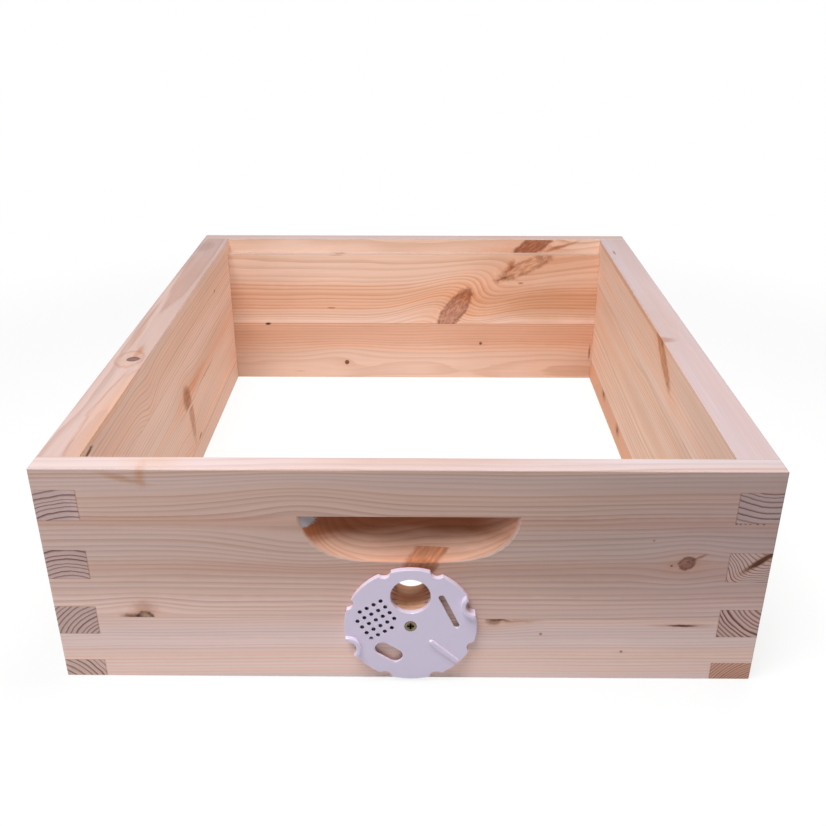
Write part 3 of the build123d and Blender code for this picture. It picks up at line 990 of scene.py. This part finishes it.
# %% [markdown]
# ## The right wall
# Four boards again, with finer rings in the first and the third. The rim of this wall shows hardly any lines.
# The rings could be drawn wider for the whole board, but its inner face shows them well, so the record says
# how much of the contrast is left on the rim. An orange streak runs from a knot up onto the rim.

# %% Right stave 1
staves["right_stave_1"] = Stave(
    pith=(-19.0, -12.0), ring=1.65, pale=(0.83, 0.48, 0.315), late=(0.50, 0.25, 0.16),
    contrast=0.36, sawn=(0.91, 0.895, 1.025),
    knots=[speck(149.0, 17.0, 2.6, INSIDE, strength=0.7), speck(72.5, 14.5, 2.4, INSIDE, strength=0.75)],
    patches=[
        Patch((149.0, 17.0, INSIDE), (8.0, 4.5, 3.0), (0.66, 0.52, 0.44), soft=0.9),
        Patch((72.5, 14.5, INSIDE), (7.0, 4.5, 3.0), (0.66, 0.50, 0.42), soft=0.9),
    ])
tell("right_stave_1")

# %% Right stave 2
staves["right_stave_2"] = Stave(
    pith=(67.0, -11.0), ring=2.7, pale=(0.93, 0.68, 0.525), late=(0.45, 0.23, 0.15), contrast=0.36,
    sawn=(0.745, 0.70, 0.81), dark_from=0.38,
    patches=[Patch((0.0, 33.0, INSIDE), (300.0, 14.0, 5.0), (0.94, 0.90, 0.90), strength=0.9, soft=0.6)])
tell("right_stave_2")

# %% Right stave 3
staves["right_stave_3"] = Stave(
    pith=(108.0, -1.0), ring=1.7, pale=(0.92, 0.68, 0.55), late=(0.50, 0.29, 0.19), contrast=0.36,
    knots=[
        Knot((-257.5, 88.0, 5.5), 2.0, axis=(0.16, -0.62, 0.77), heart=(0.13, 0.05, 0.028),
             rim=(0.30, 0.13, 0.07), soft=0.5, reach=9.0, part=0.5),
    ])
tell("right_stave_3")

# %% Right stave 4
staves["right_stave_4"] = Stave(
    pith=(166.0, 7.5), ring=3.2, pale=(0.95, 0.715, 0.60), late=(0.48, 0.26, 0.17), contrast=0.24,
    sawn=(0.60, 0.585, 0.68), top=(0.565, 0.595, 0.725), rim_lines=0.25,
    knots=[
        Knot((-55.0, 135.5, INSIDE), 6.2, axis=(0.87, 0.45, -0.20), heart=(0.70, 0.34, 0.18),
             rim=(0.42, 0.18, 0.095), strength=0.9, soft=0.35, skin=0.5, window=(-NO_LIMIT, 145.8),
             reach=13.0, part=0.25, drag=0.1, stain=0.7),
    ],
    patches=[
        Patch((194.0, TOP, 19.0), (6.0, 3.0, 0.9), (0.45, 0.38, 0.36), soft=0.7, ragged=0.3),
        Patch((-47.0, TOP, INSIDE), (5.5, 5.0, 8.5), (0.80, 0.60, 0.49), strength=0.9, soft=0.5,
              ragged=0.8),
        Patch((-5.0, TOP, 21.0), (60.0, 5.0, 14.0), (0.985, 0.955, 0.91), strength=0.9, soft=0.8,
              ragged=1.0),
        Patch((95.0, 144.0, INSIDE), (140.0, 1.8, 3.0), (0.86, 0.68, 0.55), strength=0.9, soft=0.6,
              ragged=0.4),
        Patch((-15.0, 130.0, INSIDE), (60.0, 16.0, 5.0), (1.0, 0.94, 0.89), strength=0.9, soft=0.9),
        Patch((-130.0, TOP, 12.0), (140.0, 3.0, 16.0), (0.985, 0.955, 0.93), strength=0.9, soft=0.8),
        Patch((0.0, 138.0, INSIDE), (300.0, 9.0, 3.0), (0.99, 0.92, 0.86), strength=0.9, soft=0.6),
    ])
tell("right_stave_4")

# %% [markdown]
# ## Patches and knots as layers
# Stains and knots are laid over the pine one after another, like glazes. A tint multiplies the colour below,
# so the grain still shows through it, and only filler covers the wood. The layers could be one big mixing
# node, but a function for each kind of layer lets any board have as many of them as it needs.

# %% Patch and knot layers
KNOT_STAIN = (0.97, 0.74, 0.54)
HEART_PALE, HEART_DARK = 1.20, 0.68


def lay_patch(bench, colour, patch, place):
    """Tint the wood inside a patch, or cover it."""
    mask = bench.group(patch_group, {
        "Place": place, "Centre": patch.centre, "Size": patch.size, "Ragged": patch.ragged,
        "Soft": patch.soft, "Slope": patch.slope})["Mask"]
    amount = bench.math("MULTIPLY", mask, patch.strength)
    if patch.covers:
        return bench.mix(amount, colour, patch.tint)
    return bench.tinted(amount, colour, patch.tint)


def lay_knot(bench, colour, knot, rod):
    """Lay a knot's stain, its rod and its dark skin over the pine."""
    colour = bench.tinted(bench.math("MULTIPLY", rod["Halo"], knot.stain), colour, KNOT_STAIN)
    pale = [HEART_PALE * part for part in knot.heart]
    dark = [HEART_DARK * part for part in knot.heart]
    wood = bench.mix(rod["Rings"], pale, dark)
    wood = bench.mix(rod["Skin"], wood, knot.rim)
    return bench.mix(bench.math("MULTIPLY", rod["Mask"], knot.strength), colour, wood)


knot_count = sum(len(stave.knots) for stave in staves.values())
patch_count = sum(len(stave.patches) for stave in staves.values())
print("to lay:", knot_count, "knots and", patch_count, "patches")

# %% [markdown]
# ## Glue lines and corner seams
# The staves are glued edge to edge, and the corners are glued finger by finger. What shows of a joint is a
# hairline, far too thin to model. A line texture could be drawn for each wall, but the fingers come at even
# steps, so the height above the bottom edge tells where each hairline lies.

# %% Seams
SEAM = (0.84, 0.76, 0.70)
SEAM_HALF = 0.22
GLUE = (0.66, 0.52, 0.42)
GLUE_HALF = 0.30


def corner_seam(bench, wall, place, end):
    """1 on the hairlines of a corner: on its steps, beside its notches and across the ends of its fingers."""
    along, up, inwards = bench.split(place)
    run = bench.math("ABSOLUTE", along)
    at_top = bench.math("GREATER_THAN", up, TOP_STEP - 2 * SEAM_HALF)
    block = bench.between(at_top, wall.half_run - BOARD, wall.half_run - wall.top_step)
    corner = bench.math("GREATER_THAN", run, block)
    phase = bench.math("FLOORED_MODULO", bench.math("SUBTRACT", up, FIRST_STEP), FINGER)
    to_step = bench.math("MINIMUM", phase, bench.math("SUBTRACT", FINGER, phase))
    on_step = bench.math("MULTIPLY", corner, bench.math("LESS_THAN", to_step, SEAM_HALF))
    turn = bench.math("ADD", up, FINGER - FIRST_STEP + wall.finger_shift)
    turn = bench.math("FLOORED_MODULO", turn, 2 * FINGER)
    notch = bench.math("LESS_THAN", turn, FINGER)
    beside = bench.math("MULTIPLY", notch, bench.math("COMPARE", run, block, 2 * SEAM_HALF))
    across = bench.math("MULTIPLY", end, bench.math("GREATER_THAN", inwards, BOARD - 2 * SEAM_HALF))
    return bench.math("MAXIMUM", bench.math("MAXIMUM", on_step, beside), across)


def lay_seams(bench, colour, name, wall, place, end):
    """Darken the hairlines where this stave meets the next stave and the fingers of the other walls."""
    up = bench.split(place)["Y"]
    bottom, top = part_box(name)
    for height in (bottom.z, top.z):
        if model_low.z < height < model_high.z:
            glue = bench.math("COMPARE", up, height / MM, GLUE_HALF)
            colour = bench.tinted(bench.math("MULTIPLY", glue, wall.glue_shown), colour, GLUE)
    return bench.tinted(corner_seam(bench, wall, place, end), colour, SEAM)


print("seams are", 2 * SEAM_HALF, "mm wide, glue lines", 2 * GLUE_HALF, "mm")

# %% [markdown]
# ## The routed handhold
# Where the scoop ends under its upper edge the wood is dark brown, partly scorched by the hot cutter and
# partly painted shade under the edge. The rest of the scoop is cut across the grain and looks warmer than the
# planed face. Its lines lie along the middle and rise at both ends, so the grain is moved there before the
# rings are drawn. The top left corner tore out and was closed with grey filler. All of this is colour by
# height and depth, since the shape is modelled. Only the front handhold shows in the photograph, so the
# other three stay plain pine.

# %% Handhold surface
SCOOPED = "front_stave_2"
SCOOP_HALF = 64.0
SCOOP_LOW, SCOOP_HIGH = 84.0, 117.0
HOLLOW_FROM, HOLLOW_FULL = 0.2, 1.2
BEHIND_FROM, BEHIND_FULL = 18.0, 20.0
GRAIN_DIP, GRAIN_RISE, GRAIN_SLOPE = 8.0, 28.0, -0.8
RISE_POWER = 3.0


def in_scoop(bench, place):
    """1 on the hollowed surface of the handhold, 0 on the faces around it."""
    _, up, inwards = bench.split(place)
    hollow = bench.soft_step(inwards, HOLLOW_FROM, HOLLOW_FULL)
    hollow = bench.math("MULTIPLY", hollow, bench.soft_step(inwards, BEHIND_FULL, BEHIND_FROM))
    above = bench.math("GREATER_THAN", up, SCOOP_LOW)
    below = bench.math("LESS_THAN", up, SCOOP_HIGH)
    return bench.math("MULTIPLY", hollow, bench.math("MULTIPLY", above, below))


def scoop_shift(bench, place):
    """How far the grain is moved, so that its lines lie along the scoop's middle and rise at both ends."""
    along, _, inwards = bench.split(place)
    reach = bench.math("ABSOLUTE", bench.math("SUBTRACT", along, GRAIN_DIP))
    reach = bench.math("DIVIDE", reach, SCOOP_HALF)
    rise = bench.math("MULTIPLY", bench.math("POWER", reach, RISE_POWER), -GRAIN_RISE)
    shift = bench.math("MULTIPLY_ADD", inwards, GRAIN_SLOPE, rise)
    return bench.math("MULTIPLY", shift, in_scoop(bench, place))


print("handhold from", SCOOP_LOW, "to", SCOOP_HIGH, "mm")

# %% Handhold colours
ROUTED = (1.29, 1.05, 0.87)
SCORCH_AND_SHADE = (0.39, 0.21, 0.115)
SCORCH_SHADE_FROM, SCORCH_SHADE_FULL = 92.0, 106.0
SCORCH_SHADE_CLOUDS, SCORCH_SHADE_WAVE = (0.03, 0.12, 0.12), 8.0
RIGHT_END_FROM, RIGHT_END_SCORCH_SHADE = 0.55, 0.5
FILLER = Patch((-59.5, 113.0, 4.0), (7.0, 5.0, 8.0), (0.50, 0.46, 0.475),
               strength=0.95, soft=0.3, ragged=1.3, covers=True)


def lay_scoop(bench, colour, place):
    """Warm the routed wood, darken it towards the upper edge with scorch and painted shade, and fill its torn
    corner.
    """
    along, up, _ = bench.split(place)
    scoop = in_scoop(bench, place)
    colour = bench.tinted(scoop, colour, ROUTED)
    # Scorch and painted shade: the scoop darkens towards its upper edge, less at the right end.
    clouds = bench.noise(bench.vector("MULTIPLY", place, SCORCH_SHADE_CLOUDS), detail=3.0)
    height = bench.math("ADD", bench.centred(clouds, SCORCH_SHADE_WAVE), up)
    burnt_and_shaded = bench.math("MULTIPLY", scoop, bench.soft_step(height, SCORCH_SHADE_FROM, SCORCH_SHADE_FULL))
    right_end = bench.soft_step(along, RIGHT_END_FROM * SCOOP_HALF, SCOOP_HALF)
    burnt_and_shaded = bench.math("MULTIPLY", burnt_and_shaded, bench.between(right_end, 1.0, RIGHT_END_SCORCH_SHADE))
    colour = bench.tinted(burnt_and_shaded, colour, SCORCH_AND_SHADE)
    return bench.mix(scoop, colour, lay_patch(bench, colour, FILLER, place))


print("scorched from", SCORCH_SHADE_FROM, "mm up")

# %% [markdown]
# ## The bored entrance
# Behind the hole in the disc the wall is bored through. The cut wood is warmer than the planed face, and a
# painted shade darkens it towards the inside of the box. Lamps could be moved until little light falls into
# the hole, but a tint by depth leaves the light on the rest of the box alone.

# %% Entrance layer
BORE_ALONG, BORE_UP, BORE_RADIUS = 2.0, 63.3, 12.0
BORE_MARGIN = 0.3
BORED = (1.19, 1.06, 0.77)
BORED_FROM, BORED_FULL = 0.2, 0.8
BORE_END_SHADE = (0.62, 0.50, 0.44)
BORE_SHADE_FROM, BORE_SHADE_FULL = 12.0, 23.0


def lay_bore(bench, colour, place):
    """Warm the bored wood of the entrance, and paint shade over its far end."""
    along, up, inwards = bench.split(place)
    from_bore = bench.vector("SUBTRACT", bench.join(along, up, 0.0), (BORE_ALONG, BORE_UP, 0.0))
    in_bore = bench.math("LESS_THAN", bench.measure("LENGTH", from_bore), BORE_RADIUS + BORE_MARGIN)
    bored = bench.math("MULTIPLY", in_bore, bench.soft_step(inwards, BORED_FROM, BORED_FULL))
    colour = bench.tinted(bored, colour, BORED)
    # Painted shade: the far end of the bore is darkened by depth.
    far = bench.math("MULTIPLY", in_bore, bench.soft_step(inwards, BORE_SHADE_FROM, BORE_SHADE_FULL))
    return bench.tinted(far, colour, BORE_END_SHADE)


print("entrance is", 2 * BORE_RADIUS, "mm wide")

# %% [markdown]
# ## Finishing a stave
# Now each record becomes a material. One material could serve all boards and look their values up, but a
# material for each board is easier to read and to change. The knots come first, because their shifts bend
# the measures that the rings are drawn from. Then the pine is coloured, and the knots and patches are laid
# over it. Rims and rests face the lamps and would come out too bright, so they get painted shade as tints of
# their own, and on one rim the lines are fainter. The relief of the summer wood goes into a weak bump, since
# planed pine is smooth.

# %% Grain of a stave
SEED_STEP = 1.7


def place_knots(bench, stave, place):
    """The rods of a stave's knots, and how far they move the grain together."""
    rods = []
    shift = 0.0
    for knot in stave.knots:
        lowest, highest = knot.window
        axis = Vector(knot.axis).normalized()
        rod = bench.group(knot_group, {
            "Place": place, "Centre": knot.centre, "Axis": axis, "Radius": knot.radius, "Soft": knot.soft,
            "Skin": knot.skin, "Low": lowest, "High": highest, "Reach": knot.reach,
            "Pull": (knot.drag, -knot.part, 0.0)})
        shift = bench.math("ADD", rod["Shift"], shift)
        rods.append(rod)
    return rods, shift


def saw_pine(bench, stave, number, bent, end, contrast):
    """The pine of a stave, as the outputs of its group."""
    return bench.group(pine_group, {
        "Place": bent, "End": end, "Pith": (0.0, *stave.pith), "Lean": (0.0, *stave.lean),
        "Ring Width": stave.ring, "Wander": stave.wander, "Seed": SEED_STEP * number, "Pale": stave.pale,
        "Late": stave.late, "Sawn": stave.sawn, "Contrast": contrast, "Dark From": stave.dark_from})


print("ring widths in mm", {name: stave.ring for name, stave in staves.items()})

# %% Colour of a stave
LEVEL = (0.0, 0.0, 1.0)
RIM_MARGIN = 2.0
REST_SHADE = (0.62, 0.65, 0.68)
FADE_RUN = 160.0


def stave_colour(bench, name, stave, number):
    """The colour of one stave, with its pine. The number makes its noise differ from the others'."""
    wall = WALLS[name.split("_")[0]]
    place = board_place(bench, wall)
    end = faces(bench, wall.along)
    run, up, _ = bench.split(place)
    level = faces(bench, LEVEL)
    on_rim = bench.math("MULTIPLY", level, bench.math("GREATER_THAN", up, TOP_STEP + RIM_MARGIN))
    on_rest = bench.math("MULTIPLY", level, bench.math("COMPARE", up, TOP_STEP, RIM_MARGIN))

    rods, shift = place_knots(bench, stave, place)
    if name == SCOOPED:
        shift = bench.math("ADD", scoop_shift(bench, place), shift)
    bent = bench.vector("ADD", place, bench.join(0.0, shift, 0.0))
    contrast = bench.between(on_rim, stave.contrast, stave.contrast * stave.rim_lines)
    pine = saw_pine(bench, stave, number, bent, end, contrast)
    colour = pine["Colour"]
    for knot, rod in zip(stave.knots, rods):
        colour = lay_knot(bench, colour, knot, rod)
    for patch in stave.patches:
        colour = lay_patch(bench, colour, patch, place)
    # Partly the wood's tone and partly a painted falloff of the light towards the right.
    if stave.fade:
        tone = bench.math("MULTIPLY_ADD", run, -stave.fade / FADE_RUN, 1.0)
        colour = bench.mix(1.0, colour, bench.join(tone, tone, tone), "MULTIPLY")
    # Painted shade: rims and rests face the lamps, so their tints darken them.
    colour = bench.tinted(on_rim, colour, stave.top)
    colour = bench.tinted(on_rest, colour, REST_SHADE)
    if name == SCOOPED:
        colour = lay_scoop(bench, colour, place)
        colour = lay_bore(bench, colour, place)
    return lay_seams(bench, colour, name, wall, place, end), pine


print("rests lie", TOP_STEP, "mm up")

# %% Finish the staves
PINE_SHINE = 0.2
PINE_BUMP, PINE_DEPTH = 0.15, 0.2 * MM


def stave_finish(name, stave, number):
    """The finish of one stave, from its record."""
    material, bench, shader = new_material(f"pine_{name}")
    colour, pine = stave_colour(bench, name, stave, number)
    bench.feed(shader.inputs["Base Color"], colour)
    bench.feed(shader.inputs["Roughness"], pine["Roughness"])
    bench.feed(shader.inputs["Specular IOR Level"], PINE_SHINE)
    relief = {"Strength": PINE_BUMP, "Distance": PINE_DEPTH, "Height": pine["Height"]}
    bench.feed(shader.inputs["Normal"], bench.node("ShaderNodeBump", relief).outputs[0])
    return material


def give_finish(node, material):
    """Put a finish on every material slot of a node."""
    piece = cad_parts[node]
    for slot in piece.material_slots:
        slot.material = material


for number, (name, stave) in enumerate(staves.items(), start=1):
    give_finish(name, stave_finish(name, stave, number))
print("finished", len(staves), "staves")

# %% [markdown]
# ## The plastic disc
# The disc is moulded in white plastic. It looks faintly violet beside the pine, and its smooth skin catches
# the light, so the shader has a thin clear coat. A plain white shader would look like paper, so the skin also
# gets a very fine grain from the mould, and slow patches where it is a little smoother. Its edges get a
# painted highlight that makes them paler than its face. Hardly any light comes back out of the small vent
# holes, so their walls get a painted shade.

# %% Vent holes
VENT_MIDDLE = Vector((-18.8, 0.0, 46.6)) * MM
VENT_REACH = 14.0 * MM
IN_PLANE = (1.0, 0.0, 1.0)
FRONTWARDS = (0.0, 1.0, 0.0)


def vent_walls(bench, point):
    """1 on the walls of the small vent holes, 0 on the face around them."""
    flat = bench.vector("MULTIPLY", bench.vector("SUBTRACT", point, VENT_MIDDLE), IN_PLANE)
    in_field = bench.math("LESS_THAN", bench.measure("LENGTH", flat), VENT_REACH)
    on_face = faces(bench, FRONTWARDS)
    return bench.math("MULTIPLY", in_field, bench.math("SUBTRACT", 1.0, on_face))


print("vent field reaches", round(VENT_REACH / MM, 1), "mm")

# %% Disc finish
PLASTIC_DARK, PLASTIC_PALE = (0.80, 0.71, 0.915), (0.835, 0.745, 0.955)
PLASTIC_EDGE_HIGHLIGHT = (0.91, 0.79, 0.945)
VENT_SHADE = (0.14, 0.10, 0.15)
PATCH_SCALE, MOULD_SCALE = 60.0, 2200.0
SKIN_ROUGHNESS = (0.15, 0.24)
COAT, COAT_ROUGHNESS = 0.5, 0.08
MOULD_BUMP, MOULD_DEPTH = 0.05, 0.05 * MM


def disc_finish():
    """Smooth white plastic with a painted highlight on its edges and painted shade in the vent holes."""
    material, bench, shader = new_material("moulded_plastic")
    point = bench.node("ShaderNodeTexCoord", {}).outputs["Object"]
    smoother = bench.noise(bench.scaled(point, PATCH_SCALE), detail=3.0)
    grain = bench.noise(bench.scaled(point, MOULD_SCALE))
    tint = bench.mix(smoother, PLASTIC_DARK, PLASTIC_PALE)
    # Painted highlight: the side faces of the moulding are paler than its face.
    tint = bench.mix(faces(bench, FRONTWARDS), PLASTIC_EDGE_HIGHLIGHT, tint)
    # Painted shade on the walls of the vent holes.
    tint = bench.tinted(vent_walls(bench, point), tint, VENT_SHADE)
    bench.feed(shader.inputs["Base Color"], tint)
    bench.feed(shader.inputs["Roughness"], bench.between(smoother, *SKIN_ROUGHNESS))
    bench.feed(shader.inputs["Coat Weight"], COAT)
    bench.feed(shader.inputs["Coat Roughness"], COAT_ROUGHNESS)
    relief = {"Strength": MOULD_BUMP, "Distance": MOULD_DEPTH, "Height": grain}
    bench.feed(shader.inputs["Normal"], bench.node("ShaderNodeBump", relief).outputs[0])
    return material


give_finish("entrance_disc", disc_finish())
print("disc finished")

# %% [markdown]
# ## The screw
# The screw is steel with a yellow zinc coat, which is gold with a hint of green and changes a little from
# place to place. The middle of the head is darker, and painted shade darkens the cross and the sunk edge of
# the head. A flat gold colour would look like paint, so the colours are rings about the screw's middle on a
# metal shader.

# %% Screw finish
screw_low, screw_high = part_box("disc_screw")
SCREW_MIDDLE = (screw_low + screw_high) / 2
CLOUD_FINENESS = 700.0
DARKER_MIDDLE_ZINC = ((0.06, 0.05, 0.03), (0.17, 0.145, 0.085))
BRIGHT_ZINC = ((0.24, 0.19, 0.11), (0.39, 0.32, 0.20))
DARKER_MIDDLE_RING = (1.8 * MM, 3.3 * MM)
SHADED_RING = (2.9 * MM, 3.6 * MM)
HEAD_SHADE = (0.38, 0.33, 0.32)
RECESS_SHADE_DEPTH = (0.1 * MM, 0.9 * MM)
RECESS_SHADE = (0.14, 0.11, 0.07)
ZINC_ROUGHNESS = (0.25, 0.45)


def screw_finish():
    """Yellow zinc, darker in the middle, with painted shade at its sunk edge and in the cross."""
    material, bench, shader = new_material("yellow_zinc")
    point = bench.node("ShaderNodeTexCoord", {}).outputs["Object"]
    clouds = bench.noise(bench.scaled(point, CLOUD_FINENESS), detail=3.0)
    flat = bench.vector("MULTIPLY", bench.vector("SUBTRACT", point, SCREW_MIDDLE), IN_PLANE)
    from_middle = bench.measure("LENGTH", flat)
    middle_zinc = bench.mix(clouds, *DARKER_MIDDLE_ZINC)
    bright = bench.mix(clouds, *BRIGHT_ZINC)
    zinc = bench.mix(bench.soft_step(from_middle, *DARKER_MIDDLE_RING), middle_zinc, bright)
    # Painted shade at the sunk edge of the head.
    zinc = bench.tinted(bench.soft_step(from_middle, *SHADED_RING), zinc, HEAD_SHADE)
    depth = bench.math("SUBTRACT", bench.split(point)["Y"], screw_low.y)
    # Painted shade in the cross, darker with depth.
    zinc = bench.tinted(bench.soft_step(depth, *RECESS_SHADE_DEPTH), zinc, RECESS_SHADE)
    bench.feed(shader.inputs["Base Color"], zinc)
    bench.feed(shader.inputs["Metallic"], 1.0)
    bench.feed(shader.inputs["Roughness"], bench.between(clouds, *ZINC_ROUGHNESS))
    return material


give_finish("disc_screw", screw_finish())
print("screw finished about", [round(part / MM, 1) for part in SCREW_MIDDLE])

# %% [markdown]
# ## Size
# Nothing in this lesson changes the size of the model, which was printed when the model was loaded.
